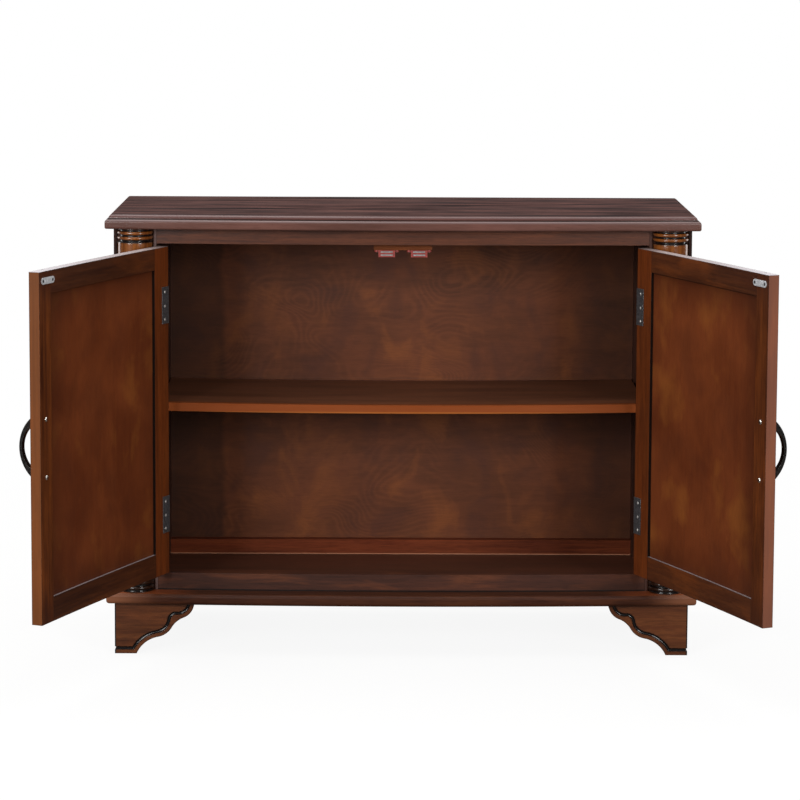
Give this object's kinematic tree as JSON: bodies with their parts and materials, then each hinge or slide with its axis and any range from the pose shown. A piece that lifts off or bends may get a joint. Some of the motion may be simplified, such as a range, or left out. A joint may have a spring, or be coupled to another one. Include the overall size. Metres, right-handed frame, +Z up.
{
  "type": "entryway cabinet",
  "caption": "Low bow-front hall cabinet with panelled doors standing open, an inner shelf, turned half columns at the front corners and scroll-cut bracket feet.",
  "frame": {"origin": "on the floor under the middle of the whole box, with the doors standing open as in the picture", "axes": "+X along the front towards the right door, +Y from the front to the back, +Z up"},
  "size_m": [1.2538, 0.733, 0.7835],
  "materials": {
    "outer_wood": "dark red-brown stain under a satin lacquer",
    "case_wood": "dark brown stain under a satin lacquer",
    "door_wood": "warm brown stain under a satin lacquer",
    "turned_wood": "warm brown stain, dark glaze in the grooves, glossy lacquer",
    "inner_wood": "brown stained veneer",
    "dark_steel": "dark grey plating",
    "bright_steel": "nickel plated",
    "handle_metal": "dark bronze",
    "catch_plastic": "red-brown moulded plastic"
  },
  "bodies": {
    "case": {"top_board": "outer_wood", "top_front_rail": "outer_wood", "bottom_front_rail": "outer_wood", "top_back_rail": "case_wood", "bottom_back_rail": "case_wood", "left_side_panel": "case_wood", "right_side_panel": "case_wood", "back_panel": "inner_wood", "bottom_panel": "inner_wood", "left_front_post": "case_wood", "right_front_post": "case_wood", "left_rear_post": "case_wood", "right_rear_post": "case_wood", "left_column": "turned_wood", "right_column": "turned_wood", "front_moulding": "outer_wood", "left_moulding": "outer_wood", "right_moulding": "outer_wood", "left_front_foot": "outer_wood", "right_front_foot": "outer_wood", "left_side_feet": "outer_wood", "right_side_feet": "outer_wood", "foot_blocks": "inner_wood", "shelf": "door_wood", "shelf_pins": "bright_steel", "catch_block": "case_wood", "catch_cases": "catch_plastic", "catch_magnets": "dark_steel", "catch_screws": "bright_steel", "left_jamb_leaves": "dark_steel", "right_jamb_leaves": "dark_steel", "hinge_pins": "dark_steel", "jamb_screws": "bright_steel"},
    "left_door": {"left_hinge_stile": "door_wood", "left_meeting_stile": "door_wood", "left_door_top_rail": "door_wood", "left_door_bottom_rail": "door_wood", "left_door_panel": "door_wood", "left_handle": "handle_metal", "left_handle_screws": "bright_steel", "left_strike_plate": "bright_steel", "left_strike_screws": "dark_steel", "left_door_leaves": "dark_steel", "left_door_screws": "bright_steel"},
    "right_door": {"right_hinge_stile": "door_wood", "right_meeting_stile": "door_wood", "right_door_top_rail": "door_wood", "right_door_bottom_rail": "door_wood", "right_door_panel": "door_wood", "right_handle": "handle_metal", "right_handle_screws": "bright_steel", "right_strike_plate": "bright_steel", "right_strike_screws": "dark_steel", "right_door_leaves": "dark_steel", "right_door_screws": "bright_steel"}
  },
  "joints": [
    {"name": "left_door_hinge", "type": "hinge", "parent": "case", "child": "left_door", "pos_m": [-0.4311, 0.03417, 0.4365], "axis": [0, 0, -1], "range_deg": [-112.7, 12.3]},
    {"name": "right_door_hinge", "type": "hinge", "parent": "case", "child": "right_door", "pos_m": [0.4311, 0.03417, 0.4365], "axis": [0, 0, 1], "range_deg": [-112.7, 12.3]}
  ]
}
